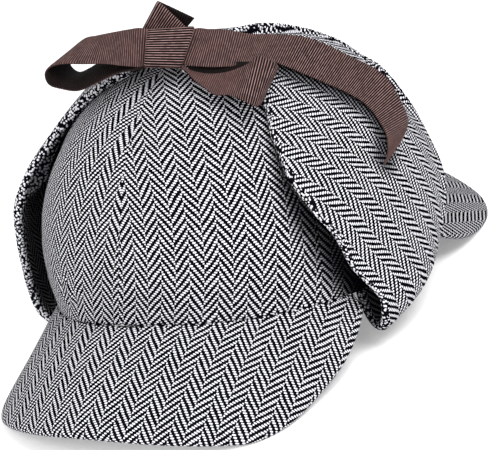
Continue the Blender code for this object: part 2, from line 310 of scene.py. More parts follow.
def ripple(points, size, seed, waves=7):
    """A smooth random swell from -1 to 1 over space, with humps about size mm across."""
    rng = np.random.default_rng(seed)
    total = 0.0
    for _ in range(waves):
        way = unit(rng.normal(size=3))
        length = size * rng.uniform(1.4, 2.6)
        total = total + np.sin(points @ way * 2 * math.pi / length + rng.uniform(0, 7))
    return total / math.sqrt(waves) / 1.4


def soft_step(value, low, high):
    t = np.clip((value - low) / (high - low), 0, 1)
    return t * t * (3 - 2 * t)


def lengths_along(points):
    """How far each point lies along the line of points."""
    return np.concatenate([[0], np.cumsum(np.linalg.norm(np.diff(points, axis=0), axis=-1))])


def half_widths(rows):
    """Half the length of each row of points."""
    return np.linalg.norm(np.diff(rows, axis=1), axis=-1).sum(1) / 2


def both_faces(middle, normal, lift):
    """The points at a height above and below a middle surface."""
    return middle + normal * lift[..., None], middle - normal * lift[..., None]


def normals_of(surface, a, b, step=1e-3):
    """Outward normals of surface(a, b), with a across and b along."""
    da = surface(a + step, b) - surface(a - step, b)
    db = surface(a, b + step) - surface(a, b - step)
    return unit(np.cross(da, db))


# ---------------------------------------------------------------- places seen in the photo


def camera_axes():
    """Unit vectors towards the camera, to the picture's right and up the picture."""
    turn, rise, roll = (math.radians(x) for x in (CAMERA_TURN, CAMERA_RISE, CAMERA_ROLL))
    back = np.array([math.sin(turn) * math.cos(rise), -math.cos(turn) * math.cos(rise), math.sin(rise)])
    level = np.array([math.cos(turn), math.sin(turn), 0.0])
    upright = np.cross(back, level)
    right = level * math.cos(roll) - upright * math.sin(roll)
    up = level * math.sin(roll) + upright * math.cos(roll)
    return back, right, up


def line_of_sight(x, y):
    """A pixel's place level with the camera's aim, and its step for each mm nearer to the camera."""
    back, right, up = camera_axes()
    focus = CAMERA_LENS / CAMERA_SENSOR * PHOTO_WIDTH
    slant = (right * (x - PHOTO_WIDTH / 2) + up * (PHOTO_HEIGHT / 2 - y)) / focus
    return np.array(CAMERA_AIM) + slant * CAMERA_DISTANCE, back - slant


def seen_edges(upper, lower):
    """The places of a row's two edges in mm, to a tenth."""
    start, step = line_of_sight(*lower[:2])
    low = start + step * lower[2]
    start, step = line_of_sight(*upper[:2])
    if len(upper) == 3:
        nearness = upper[2]
    else:
        # Of many places along the line of sight, the one where the strip is nearest to TAIL_WIDTH wide.
        trials = np.linspace(TAIL_FARTHEST, lower[2], TAIL_TRIALS)
        widths = np.linalg.norm(start + step * trials[:, None] - low, axis=1)
        nearness = trials[np.argmin(np.abs(widths - TAIL_WIDTH))]
    return np.round([start + step * nearness, low], 1)


def seen_rows(table):
    """The places of a strip's rows in mm."""
    return np.array([seen_edges(upper, lower) for upper, lower in table])


KNOT_SIDES = seen_rows(KNOT_SEEN)
LOOP_RIGHT = seen_rows(LOOP_RIGHT_SEEN)
LOOP_LEFT = seen_rows(LOOP_LEFT_SEEN)
TAIL_LONG = seen_rows(TAIL_LONG_SEEN)
TAIL_SHORT = seen_rows(TAIL_SHORT_SEEN)


# ---------------------------------------------------------------- the crown's shape


def dome_section(turn, climb):
    """How high and how far out the crown is, as shares. Climb is 0 level with the rim's side, 1 on top."""
    climb = np.asarray(climb, float)
    rise = np.sign(climb) * np.sin(np.abs(climb) * math.pi / 2) ** (2 / DOME_FULLNESS)
    bulge = between(DOME_BULGE_SIDES, DOME_BULGE_ENDS, np.cos(turn) ** 2)
    return rise, np.cos(climb * math.pi / 2) * (1 + bulge * rise)


def dome_point(turn, climb):
    rise, share = dome_section(turn, climb)
    return stack(
        CROWN_HALF_WIDTH * share * np.sin(turn),
        -CROWN_HALF_LENGTH * share * np.cos(turn),
        between(SIDE_RIM_HEIGHT, CROWN_TOP, rise),
    )


def dome_normal(turn, climb):
    return normals_of(dome_point, turn, climb)


def rim_height(turn):
    return RIM_FRONT_HEIGHT - RIM_ARCH * (1 - np.cos(2 * turn)) / 2


def rim_climb(turn):
    rise = (rim_height(turn) - SIDE_RIM_HEIGHT) / (CROWN_TOP - SIDE_RIM_HEIGHT)
    return np.arcsin(np.maximum(rise, 0.0) ** (DOME_FULLNESS / 2)) * 2 / math.pi


def seam_lean(b):
    """How far the seams lean round the crown, from the rim at b = 0 to the top at b = 1."""
    left = 1 - np.clip(b / SEAM_LEAN_SHARE, 0, 1)
    return np.radians(between(SEAM_LEAN_TOP, SEAM_LEAN_RIM, left**2))


def flap_front(climb, left):
    """How far back a flap's front edge lies at each climb, in degrees."""
    return smooth_column(FLAP_TABLE, climb, 1) + smooth_column(LEFT_FRONT_SHIFT, climb, 1) * left


def dome_distance(direction):
    """How far the crown is from CROWN_CENTRE along each direction, found by halving."""
    low = np.full(direction.shape[:-1], NEAREST_CROWN)
    high = np.full(direction.shape[:-1], FARTHEST_CROWN)
    for _ in range(HALVINGS):
        middle = (low + high) / 2
        p = direction * middle[..., None]
        rise = np.clip(p[..., 2] / (CROWN_TOP - SIDE_RIM_HEIGHT), 0, 1)
        climb = np.arcsin(np.minimum(rise ** (DOME_FULLNESS / 2), 1.0)) * 2 / math.pi
        turn = np.arctan2(p[..., 0] / CROWN_HALF_WIDTH, -p[..., 1] / CROWN_HALF_LENGTH)
        share = dome_section(turn, climb)[1]
        out = np.hypot(p[..., 0] / CROWN_HALF_WIDTH, p[..., 1] / CROWN_HALF_LENGTH)
        inside = (out < share) & (p[..., 2] < CROWN_TOP - SIDE_RIM_HEIGHT)
        low = np.where(inside, middle, low)
        high = np.where(inside, high, middle)
    return low


# ---------------------------------------------------------------- making meshes


def mesh_piece(name, points, faces, uvs, material, values):
    """A plain mesh object in metres from mm, with a UV pair for each face corner.
    Each named value is a number or a vector for each point."""
    mesh = bpy.data.meshes.new(name)
    mesh.from_pydata((np.asarray(points) * MM).tolist(), [], faces)
    mesh.uv_layers.new(name="cloth").data.foreach_set("uv", uvs.ravel() * MM)
    for key, value in values.items():
        kind, field = ("FLOAT_VECTOR", "vector") if value.ndim == 2 else ("FLOAT", "value")
        layer = mesh.attributes.new(key, kind, "POINT")
        layer.data.foreach_set(field, value.astype(np.float32).ravel())
    mesh.polygons.foreach_set("use_smooth", [True] * len(mesh.polygons))
    mesh.materials.append(material)
    piece = bpy.data.objects.new(name, mesh)
    bpy.context.scene.collection.objects.link(piece)
    weld(piece)
    return piece


def weld(piece, distance=2e-6):
    """Merges doubles, drops collapsed faces and points the faces outwards."""
    work = bmesh.new()
    work.from_mesh(piece.data)
    bmesh.ops.remove_doubles(work, verts=work.verts, dist=distance)
    bmesh.ops.dissolve_degenerate(work, edges=work.edges, dist=distance / 2)
    bmesh.ops.recalc_face_normals(work, faces=work.faces)
    work.to_mesh(piece.data)
    work.free()
    piece.data.update()


def closed_skin(name, outer, inner, outer_uv, inner_uv, material, far_inner_uv=None, **values):
    """A closed shell from two grids of points that meet round their border.
    far_inner_uv serves the inner face's later half of columns.
    Each named value is a pair of grids, for the outer and the inner face."""
    rows, columns = outer.shape[:2]
    points = np.concatenate([outer.reshape(-1, 3), inner.reshape(-1, 3)])
    i, j = np.meshgrid(np.arange(rows - 1), np.arange(columns - 1), indexing="ij")
    a = (i * columns + j).ravel()
    quads = np.stack([a, a + 1, a + columns + 1, a + columns], 1)
    turned = quads[:, ::-1]
    outer_uv, inner_uv = outer_uv.reshape(-1, 2), inner_uv.reshape(-1, 2)
    under = inner_uv[turned]
    if far_inner_uv is not None:
        later = (j.ravel() >= columns // 2)[:, None, None]
        under = np.where(later, far_inner_uv.reshape(-1, 2)[turned], under)
    uvs = np.concatenate([outer_uv[quads].reshape(-1, 2), under.reshape(-1, 2)])
    for key, pair in values.items():
        values[key] = np.concatenate([grid.reshape((-1,) + grid.shape[2:]) for grid in pair])
    faces = np.concatenate([quads, turned + rows * columns]).tolist()
    return mesh_piece(name, points, faces, uvs, material, values)


def relaxed(net, flat, rounds=1500):
    """The flat pattern of a curved sheet: a net's points laid flat until its threads keep their lengths."""
    flat = flat.copy()
    rows, columns = net.shape[:2]
    index = np.arange(rows * columns).reshape(rows, columns)
    pairs = np.concatenate(
        [
            np.stack([index[:-1].ravel(), index[1:].ravel()], 1),
            np.stack([index[:, :-1].ravel(), index[:, 1:].ravel()], 1),
            np.stack([index[:-1, :-1].ravel(), index[1:, 1:].ravel()], 1),
            np.stack([index[:-1, 1:].ravel(), index[1:, :-1].ravel()], 1),
        ]
    )
    solid = net.reshape(-1, 3)
    length = np.linalg.norm(solid[pairs[:, 0]] - solid[pairs[:, 1]], axis=1)
    flat = flat.reshape(-1, 2)
    share = np.bincount(pairs.ravel(), minlength=len(flat))[:, None]
    for _ in range(rounds):
        gap = flat[pairs[:, 1]] - flat[pairs[:, 0]]
        now = np.linalg.norm(gap, axis=1)
        push = gap * ((now - length) / np.maximum(now, 1e-9) / 2)[:, None]
        move = np.zeros_like(flat)
        for k in (0, 1):
            pulled, pushed = (np.bincount(pairs[:, end], push[:, k], len(flat)) for end in (0, 1))
            move[:, k] = pulled - pushed
        flat = flat + move / share * 1.6
    return flat.reshape(rows, columns, 2)


def edge_steps(radius, count):
    """For a rounded edge: distances in from the edge, share of full height, arc distance in."""
    angle = np.linspace(0, math.pi / 2, count + 1)
    return radius * (1 - np.cos(angle)), np.sin(angle), radius * angle


def spread(width, radius, count, rounds):
    """Places across from -width to width with both edges rounded: place, share of height, arc place."""
    inset, lift, arc = edge_steps(radius, rounds)
    inner = np.linspace(-(width - radius), width - radius, count + 1)
    extra = radius * (math.pi / 2 - 1)
    place = np.concatenate([-width + inset[:-1], inner, width - inset[:-1][::-1]])
    height = np.concatenate([lift[:-1], np.ones(count + 1), lift[:-1][::-1]])
    arc_place = np.concatenate([-(width + extra) + arc[:-1], inner, (width + extra) - arc[:-1][::-1]])
    return place, height, arc_place


def take_place(piece, node):
    """Puts a piece in the place of a CAD node, on the hat's only body."""
    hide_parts(node)
    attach(piece, "root")


# ---------------------------------------------------------------- materials


class Nodes:
    """Short calls for building a node tree."""

    def __init__(self, tree):
        self.tree = tree
        self.tree.nodes.clear()

    def add(self, kind, **settings):
        node = self.tree.nodes.new(kind)
        for key, value in settings.items():
            setattr(node, key, value)
        return node

    def link(self, source, target):
        if isinstance(source, (int, float, tuple)):
            target.default_value = source
        else:
            self.tree.links.new(source, target)

    def attribute(self, name):
        return self.add("ShaderNodeAttribute", attribute_name=name).outputs["Fac"]

    def math(self, operation, a, b=0.0):
        node = self.add("ShaderNodeMath", operation=operation)
        for value, socket in zip((a, b), node.inputs):
            self.link(value, socket)
        return node.outputs[0]

    def plus(self, a, b):
        return self.math("ADD", a, b)

    def minus(self, a, b):
        return self.math("SUBTRACT", a, b)

    def times(self, a, b):
        return self.math("MULTIPLY", a, b)

    def over(self, a, b):
        return self.math("DIVIDE", a, b)

    def from_middle(self, value):
        """Where a value lies in its whole step, from -0.5 to 0.5."""
        return self.minus(self.math("FRACT", value), 0.5)

    def vector(self, operation, a, b=(0, 0, 0), scale=None):
        node = self.add("ShaderNodeVectorMath", operation=operation)
        self.link(a, node.inputs[0])
        self.link(b, node.inputs[1])
        if scale is not None:
            self.link(scale, node.inputs["Scale"])
        return node.outputs[0]

    def mix(self, share, a, b, kind="RGBA"):
        node = self.add("ShaderNodeMix", data_type=kind)
        share_socket = node.inputs["Factor"] if kind == "RGBA" else node.inputs[0]
        sockets = [s for s in node.inputs if s.type == "RGBA"] if kind == "RGBA" else node.inputs[2:4]
        for value, socket in zip((share, a, b), (share_socket, *sockets)):
            self.link(value, socket)
        return [s for s in node.outputs if s.type == "RGBA"][0] if kind == "RGBA" else node.outputs[0]

    def smooth(self, value, low, high, to_low=0.0, to_high=1.0):
        node = self.add("ShaderNodeMapRange", interpolation_type="SMOOTHSTEP")
        names = ("Value", "From Min", "From Max", "To Min", "To Max")
        for v, name in zip((value, low, high, to_low, to_high), names):
            self.link(v, node.inputs[name])
        return node.outputs[0]

    def noise(self, vector, scale, detail=2.0, roughness=0.5, colour=False):
        node = self.add("ShaderNodeTexNoise")
        self.link(vector, node.inputs["Vector"])
        node.inputs["Scale"].default_value = scale
        node.inputs["Detail"].default_value = detail
        node.inputs["Roughness"].default_value = roughness
        return node.outputs["Color" if colour else "Fac"]

    def random(self, vector):
        node = self.add("ShaderNodeTexWhiteNoise", noise_dimensions="3D")
        self.link(vector, node.inputs["Vector"])
        return node.outputs["Value"]

    def join(self, x, y, z=0.0):
        node = self.add("ShaderNodeCombineXYZ")
        for value, socket in zip((x, y, z), node.inputs):
            self.link(value, socket)
        return node.outputs[0]

    def split(self, vector):
        node = self.add("ShaderNodeSeparateXYZ")
        self.link(vector, node.inputs[0])
        return node.outputs

    def cloth_place(self):
        """The place on the flat cloth in mm, from the piece's UV map."""
        return self.vector("SCALE", self.add("ShaderNodeUVMap", uv_map="cloth").outputs[0], scale=1000.0)

    def surface(self, colour, dull, relief, strength, depth, roughness, specular):
        """Ends the tree with a bumpy surface that turns to a dull colour where it lies in shade."""
        light = self.minus(1.0, self.attribute("shade"))
        colour = self.mix(self.times(light, light), dull, colour)
        bump = self.add("ShaderNodeBump")
        bump.inputs["Strength"].default_value = strength
        bump.inputs["Distance"].default_value = depth
        self.link(relief, bump.inputs["Height"])
        shader = self.add("ShaderNodeBsdfPrincipled")
        self.link(colour, shader.inputs["Base Color"])
        shader.inputs["Roughness"].default_value = roughness
        shader.inputs["Specular IOR Level"].default_value = specular
        self.link(bump.outputs[0], shader.inputs["Normal"])
        out = self.add("ShaderNodeOutputMaterial")
        self.link(shader.outputs[0], out.inputs["Surface"])


def new_material(name):
    """A material with an empty node tree."""
    material = bpy.data.materials.new(name)
    material.use_nodes = True
    return material, Nodes(material.node_tree)


def herringbone(name):
    """Black and white herringbone twill on the piece's own flat cloth coordinates."""
    material, n = new_material(name)
    cloth = n.cloth_place()

    # Threads never run dead straight.
    sway = n.vector("SUBTRACT", n.noise(cloth, 0.085, 1.0, colour=True), (0.5, 0.5, 0.5))
    jitter = n.vector("SUBTRACT", n.noise(cloth, 0.9, 1.0, colour=True), (0.5, 0.5, 0.5))
    moved = n.vector("ADD", cloth, n.vector("SCALE", sway, scale=1.3))
    moved = n.vector("ADD", moved, n.vector("SCALE", jitter, scale=0.28))
    x, y, _ = n.split(moved)

    column = n.math("FLOOR", n.over(x, COLUMN_WIDTH))
    mirrored = n.math("PINGPONG", x, COLUMN_WIDTH)
    odd = n.math("MODULO", n.math("ABSOLUTE", column), 2.0)
    pick = n.math("FLOOR", n.over(y, PICK_PITCH))
    within_pick = n.from_middle(n.over(y, PICK_PITCH))
    twill = n.over(n.plus(n.over(mirrored, WARP_PITCH), pick), 4.0)
    twill = n.plus(twill, n.times(odd, 0.5))
    float_number = n.math("FLOOR", twill)
    across = n.times(n.from_middle(twill), 4 * WARP_PITCH)
    lean = n.times(across, -0.10)
    up = n.plus(n.times(within_pick, PICK_PITCH), lean)

    seed = n.join(float_number, pick, column)
    chance = n.random(seed)
    length = n.math("POWER", n.math("ABSOLUTE", n.over(across, 0.77)), 2.6)
    height = n.math("POWER", n.math("ABSOLUTE", n.over(up, 0.435)), 2.6)
    outside = n.times(n.plus(length, height), n.smooth(chance, 0.0, 1.0, 0.75, 1.3))
    # Where the cloth is turned over an edge, its threads bunch into knots.
    rough = n.attribute("rough")
    cells = n.add("ShaderNodeTexVoronoi", voronoi_dimensions="3D")
    turned = n.add("ShaderNodeMapping")
    turned.inputs["Rotation"].default_value = (0.62, 0.47, 0.33)
    n.link(n.add("ShaderNodeTexCoord").outputs["Object"], turned.inputs["Vector"])
    n.link(turned.outputs["Vector"], cells.inputs["Vector"])
    cells.inputs["Scale"].default_value = 720.0
    cells.inputs["Randomness"].default_value = 0.7
    knot = n.math("MINIMUM", n.math("POWER", n.over(cells.outputs["Distance"], 0.46), 2.0), 2.0)
    outside = n.mix(rough, outside, knot, "FLOAT")
    bead = n.smooth(outside, 0.84, 1.04, 1.0, 0.0)
    crown = n.minus(1.0, n.math("MINIMUM", outside, 1.0))

    fibre = n.noise(n.vector("MULTIPLY", cloth, (1.6, 9.0, 1.0)), 1.0, 3.0, 0.6)
    fuzz = n.noise(cloth, 5.5, 2.0, 0.6)

    white = n.mix(chance, (0.69, 0.69, 0.735, 1), (0.93, 0.93, 0.97, 1))
    white = n.mix(n.times(fibre, 0.32), white, (0.48, 0.48, 0.54, 1))
    black = n.mix(fuzz, (0.0004, 0.0004, 0.0009, 1), (0.0045, 0.0045, 0.0070, 1))
    edge = n.times(bead, n.smooth(fuzz, 0.15, 0.42, 0.72, 1.0))
    colour = n.mix(edge, black, white)
    relief = n.plus(n.times(crown, 0.8), n.times(fibre, 0.25))
    n.surface(
        colour, dull=(0.001, 0.001, 0.002, 1), relief=relief, strength=0.9, depth=0.00035,
        roughness=0.92, specular=0.0,
    )
    return material


def grosgrain(name):
    """Brown ribbed ribbon. U runs across it and V along it, in metres."""
    material, n = new_material(name)
    cloth = n.cloth_place()
    x, y, _ = n.split(cloth)
    wave = n.math("ABSOLUTE", n.from_middle(n.over(y, RIB_PITCH)))
    rib = n.math("FLOOR", n.over(y, RIB_PITCH))
    chance = n.random(n.join(n.math("FLOOR", n.times(x, 0.6)), rib))
    # Painted shade in the grooves between the ribs and a painted highlight on their crests.
    groove_shade = n.smooth(wave, 0.07, 0.26, 0.0, 1.0)
    crest_highlight = n.smooth(wave, 0.20, 0.03, 0.0, 1.0)
    fibre = n.noise(n.vector("MULTIPLY", cloth, (0.7, 6.0, 1.0)), 1.0, 3.0, 0.6)
    warp = n.math("ABSOLUTE", n.from_middle(n.times(x, 2.6)))
    patch = n.noise(cloth, 0.09, 2.0, 0.5)
    body = n.mix(n.smooth(patch, 0.25, 0.75), (0.036, 0.0155, 0.0165, 1), (0.106, 0.046, 0.0375, 1))
    # Pulled flat, the ribbon shows its ribs less: where crisp is low the painted crest highlight and groove
    # shade fade, and the body is darker.
    crisp = n.attribute("crisp")
    body = n.mix(n.times(n.minus(1.0, crisp), 0.45), body, (0.024, 0.012, 0.011, 1))
    body = n.mix(n.times(fibre, 0.5), body, (0.150, 0.092, 0.088, 1))
    body = n.mix(n.times(warp, 0.35), body, (0.030, 0.015, 0.015, 1))
    # The painted highlight on the crests and the painted shade in the grooves are as strong as crisp.
    crest_highlight = n.times(n.times(crest_highlight, crisp), n.smooth(chance, 0.0, 1.0, 0.35, 1.0))
    body = n.mix(crest_highlight, body, (0.31, 0.195, 0.185, 1))
    colour = n.mix(n.times(n.times(groove_shade, crisp), 0.97), body, (0.003, 0.0012, 0.0012, 1))
    relief = n.plus(n.times(fibre, 0.6), n.times(warp, -0.6))
    n.surface(
        colour, dull=(0.002, 0.001, 0.001, 1), relief=relief, strength=0.5, depth=0.0002,
        roughness=0.58, specular=0.08,
    )
    return material


tweed = herringbone("herringbone tweed")
ribbon_stuff = grosgrain("brown grosgrain")


# ---------------------------------------------------------------- the crown

FRONT_GORE_SKEW = 0.10
GORE_PATTERN_STEP = 37.0
GORE_PUFF = 0.8
GORE_START = -0.004
GORE_END = 0.9995
# How far ahead of a flap's front edge its shade reaches over the crown: climb, reach.
FLAP_SHADE = ((-10.0, 15.0), (15.0, 15.0), (40.0, 11.0), (60.0, 5.0), (90.0, 3.0))
FLAP_SHADE_DEPTH = (
    (-10.0, 0.93), (4.0, 0.92), (16.0, 0.80), (36.0, 0.68), (48.0, 0.35), (58.0, 0.0), (90.0, 0.0),
)
# Where it is sewn to the rim the cloth is eased in, and it puckers at one place. Both only draw the weave
# wavy; the surface keeps its shape.
RIM_EASE = 0.35
PUCKER_PLACE = (-36.0, -95.0, 56.0)
PUCKER_REACH = 17.0
PUCKER_PULL = 2.0
GORE_STRIPS = 120
GORE_COLUMNS = 44
WIDTH_SAMPLES = 41


def crown_swell(points):
    """The crown cloth's slight unevenness."""
    return 0.45 * ripple(points, 24.0, 3) + 0.18 * ripple(points, 9.0, 4)


def beside_flap(points):
    """How deep each point of the crown lies in a flap's shade, from 0 to 1."""
    p = points - CROWN_CENTRE
    size = np.linalg.norm(p, axis=-1)
    up = np.degrees(np.arctan2(p[..., 2], np.abs(p[..., 0])))
    aft = np.degrees(np.arcsin(np.clip(p[..., 1] / size, -1, 1)))
    climb = np.clip(up, 0, FLAP_TIP_CLIMB)
    reach = smooth_column(FLAP_SHADE, up, 1)
    ahead = np.radians(flap_front(climb, p[..., 0] > 0) - aft) * size
    behind = np.radians(aft - smooth_column(FLAP_TABLE, climb, 2)) * size
    depth = smooth_column(FLAP_SHADE_DEPTH, up, 1)
    return soft_step(-ahead, -reach, 2.0) * soft_step(-behind, -4.0, 2.0) * depth


def make_gore(number):
    width = 2 * math.pi / GORE_COUNT
    start = width * (number - 1)

    def surface(a, b):
        turn = start + width * (a + 1) / 2 + seam_lean(b)
        climb = np.maximum(between(rim_climb(turn), 1.0, b), -0.02)
        flat = dome_point(turn, climb)
        puff = GORE_PUFF * np.cos(a * math.pi / 2) * np.sin(math.pi * np.clip(2 * b, 0, 1) / 2)
        return flat + dome_normal(turn, np.minimum(climb, 0.999)) * (puff + crown_swell(flat))[..., None]

    b = np.concatenate([[GORE_START], np.linspace(GORE_START, GORE_END, GORE_STRIPS + 1)])
    half_width = half_widths(surface(np.linspace(-1, 1, WIDTH_SAMPLES)[None, :], b[:, None]))
    along = lengths_along(surface(np.zeros(1), b[:, None])[:, 0])
    # Seam edges stand almost as high as the cloth, with a small rounded corner.
    corner_in = np.array([0.0, 0.0, 0.12, 0.35])
    corner_lift = np.array([0.0, 0.84, 0.95, 1.0])
    place, arc = [], []
    for w in half_width:
        w = max(w, 1e-3)
        inset = corner_in * min(1.0, w * 0.8)
        inner = np.linspace(-(w - inset[-1]), w - inset[-1], GORE_COLUMNS + 1)
        p = np.concatenate([-w + inset[:-1], inner, w - inset[:-1][::-1]])
        place.append(p / w)
        arc.append(p)
    a = np.array(place)
    height = np.concatenate([corner_lift[:-1], np.ones(GORE_COLUMNS + 1), corner_lift[:-1][::-1]])
    ends = np.ones(len(b))
    ends[[0, -1]] = 0.0
    lift = height[None, :] * ends[:, None] * CROWN_CLOTH / 2
    bb = np.broadcast_to(b[:, None], a.shape)
    middle = surface(a, bb)
    normal = normals_of(surface, np.clip(a, -0.98, 0.98), np.clip(bb, 2e-3, 0.985))
    outer, inner = both_faces(middle, normal, lift)
    x = np.array(arc)
    y = np.broadcast_to(along[:, None], x.shape)
    skew = FRONT_GORE_SKEW if number == 1 else 0.0
    eased = (1 - soft_step(y - y[:1], 2.0, 24.0)) * RIM_EASE
    from_pucker = np.linalg.norm(outer - np.array(PUCKER_PLACE), axis=-1)
    pucker = PUCKER_PULL * (1 - soft_step(from_pucker, 3.0, PUCKER_REACH))
    u = x + (eased + pucker) * ripple(outer, 6.0, 31)
    v = y + GORE_PATTERN_STEP * number + skew * x + (eased + pucker) * ripple(outer, 6.0, 32)
    uv = np.stack([u, v], -1)
    dim = beside_flap(outer)
    from_seam = np.abs(x).max(1, keepdims=True) - np.abs(x)
    bunched = np.maximum(0.2 * (1 - soft_step(from_seam, 0.2, 1.1)), 1 - soft_step(y - y[:1], 0.3, 1.3))
    piece = closed_skin(
        f"crown_gore_{number}", outer, inner, uv, uv, tweed, shade=(dim, 0 * dim), rough=(bunched, 0 * dim)
    )
    take_place(piece, f"crown_panel_{number}")


for gore in range(GORE_COUNT):
    make_gore(gore + 1)


# ---------------------------------------------------------------- the peaks


PEAK_COLUMNS = 160
PEAK_STRIPS = 48
PEAK_EDGE_STEPS = 6


def peak_surface(stretch, lift):
    """A peak's middle surface: side runs from -1 to 1 round the rim, b from the rim to the edge."""

    def surface(side, b):
        turn = math.radians(PEAK_REACH) * side
        slope = np.radians(smooth_column(PEAK_TABLE, side, 2) - lift)
        length = smooth_column(PEAK_TABLE, side, 1) * stretch
        climb = rim_climb(turn)
        rim = dome_point(turn, climb) + dome_normal(turn, climb) * (CROWN_CLOTH / 2)
        out = unit(stack(np.sin(turn) / CROWN_HALF_WIDTH, -np.cos(turn) / CROWN_HALF_LENGTH, 0 * turn))
        up = np.array([0.0, 0.0, 1.0])
        along = out * np.cos(slope)[..., None] - up * np.sin(slope)[..., None]
        above = out * np.sin(slope)[..., None] + up * np.cos(slope)[..., None]
        camber = PEAK_CAMBER * 4 * b * (1 - b) * (length / smooth_column(PEAK_TABLE, np.zeros(1), 1))
        return (
            rim
            + along * (length * b)[..., None]
            + above * (camber - PEAK_THICKNESS / 2)[..., None]
            - up * SEAM_GAP
        )

    return surface


def unrolled(near, far):
    """The flat pattern of a ruled sheet, from its two edges. The middle ruling runs along y."""
    count = len(near)
    flat_near, flat_far = np.zeros((count, 2)), np.zeros((count, 2))
    middle = count // 2
    flat_far[middle] = (0, -np.linalg.norm(far[middle] - near[middle]))

    def third(p, q, to_p, to_q, side):
        """The point at two distances from p and q, on one side of the line p to q."""
        line = q - p
        d = max(np.linalg.norm(line), 1e-9)
        along = (to_p**2 - to_q**2 + d * d) / (2 * d)
        away = math.sqrt(max(to_p**2 - along**2, 0))
        way = line / d
        return p + way * along + np.array([-way[1], way[0]]) * away * side

    for step in (1, -1):
        i = middle
        while 0 <= i + step < count:
            j = i + step
            flat_near[j] = third(
                flat_near[i], flat_far[i],
                np.linalg.norm(near[j] - near[i]), np.linalg.norm(near[j] - far[i]), step,
            )
            flat_far[j] = third(
                flat_near[j], flat_far[i],
                np.linalg.norm(far[j] - near[j]), np.linalg.norm(far[j] - far[i]), step,
            )
            i = j
    return flat_near, flat_far


def make_peak(name, node, stretch, lift, back, grain, shade):
    surface = peak_surface(stretch, lift)
    side = np.linspace(-1, 1, PEAK_COLUMNS + 1)
    near, far = surface(side, np.zeros_like(side)), surface(side, np.ones_like(side))
    flat_near, flat_far = unrolled(near, far)
    reach = np.linalg.norm(far - near, axis=-1)
    radius = PEAK_THICKNESS / 2
    inset, rise, arc = edge_steps(1.0, PEAK_EDGE_STEPS)
    inner = np.linspace(0, 1, PEAK_STRIPS + 1)
    rows_b, rows_h, rows_q = [], [], []
    for length in reach:
        r = min(radius, length * 0.3)
        body = inner * (length - r)
        b = np.concatenate([[0.0], body, length - (inset[:-1] * r)[::-1]])
        h = np.concatenate([[0.0], np.ones(PEAK_STRIPS + 1), rise[:-1][::-1]])
        q = np.concatenate([[0.0], body, length + (math.pi / 2 - 1) * r - (arc[:-1] * r)[::-1]])
        rows_b.append(b / length)
        rows_h.append(h)
        rows_q.append(q / length)
    b, h, q = np.array(rows_b), np.array(rows_h), np.array(rows_q)
    a = np.broadcast_to(side[:, None], b.shape)
    tip = np.sin(np.clip((1 - np.abs(a)) / 0.025, 0, 1) * math.pi / 2)
    lift_by = h * tip * PEAK_THICKNESS / 2
    middle = surface(a, b)
    normal = normals_of(surface, np.clip(a, -0.99, 0.99), np.clip(b, 0.01, 0.99))
    normal = np.where(normal[..., 2:] < 0, -normal, normal)
    middle = middle + normal * (0.30 * ripple(middle, 22.0, 8 + back))[..., None]
    outer, inner_side = both_faces(middle, normal, lift_by)
    outer[..., 2] = np.maximum(outer[..., 2], 0.0)
    inner_side[..., 2] = np.maximum(inner_side[..., 2], 0.0)
    if back:
        turn = np.array([-1, -1, 1])
        outer, inner_side = outer * turn, inner_side * turn
    uv = flat_near[:, None] + (flat_far - flat_near)[:, None] * q[..., None]
    end = q[:, -1:]
    under = flat_near[:, None] + (flat_far - flat_near)[:, None] * (2 * end - q)[..., None]
    shift = np.array(grain)
    bunched = 1 - soft_step(q * reach[:, None], 0.3, 1.5)
    piece = closed_skin(
        name, outer, inner_side, uv + shift, under + shift, tweed,
        shade=(shade + 0 * b, 0 * b), rough=(bunched, 0 * b),
    )
    take_place(piece, node)


make_peak(
    "peak_front", "front_peak", stretch=1.0, lift=0.0, back=False, grain=(0.0, 0.0), shade=0.0
)
make_peak(
    "peak_back", "back_peak", stretch=BACK_PEAK_STRETCH, lift=BACK_PEAK_LIFT, back=True,
    grain=(2.0, 5.0), shade=0.09,
)


# ---------------------------------------------------------------- the ear flaps


FLAP_TURN_ROWS = 44
FLAP_LEG_ROWS = 130
FLAP_STRIPS = 48
FLAP_EDGE_STEPS = 8
# The net of threads from which a flap's flat pattern is found.
NET_TURN_ROWS = 11
NET_LEG_ROWS = 33
NET_COLUMNS = 17


def flap_outer_leg(climb, v, left):
    """The flap's middle surface over the crown, with v from its front edge to its rear edge."""
    aft = np.radians(between(flap_front(climb, left), smooth_column(FLAP_TABLE, climb, 2), v))
    front, middle, rear = (smooth_column(FLAP_TABLE, climb, c) for c in (3, 4, 5))
    s = 2 * v - 1
    gap = middle * (1 - s * s) + front * s * (s - 1) / 2 + rear * s * (s + 1) / 2
    gap = gap + smooth_column(FLAP_SETTLE, climb, 1 if left else 2) * (1 - v**3)
    up = np.radians(climb)
    direction = stack(np.cos(up) * np.cos(aft), np.sin(aft), np.sin(up) * np.cos(aft))
    reach = dome_distance(direction) + CROWN_CLOTH / 2 + gap - FLAP_THICKNESS / 2
    return direction * reach[..., None] + CROWN_CENTRE


def flap_turn(share, v, left):
    """The flap's middle surface in the U below the rim, from its seam to the start of the outer leg."""
    outer = flap_outer_leg(np.zeros_like(share * v), v, left)
    turn = np.arctan2(outer[..., 0] / CROWN_HALF_WIDTH, -outer[..., 1] / CROWN_HALF_LENGTH)
    inner = dome_point(turn, rim_climb(turn)) - np.array([0, 0, SEAM_GAP])
    middle, half = (inner + outer) / 2, (outer - inner) / 2
    angle = math.pi * share
    depth = between(FLAP_TURN_FRONT, FLAP_TURN_REAR, v) * np.sin(angle)
    return middle - half * np.cos(angle)[..., None] - stack(0, 0, depth)


def flap_climb(u):
    return (u - FLAP_TURN_SHARE) / (1 - FLAP_TURN_SHARE) * FLAP_TIP_CLIMB


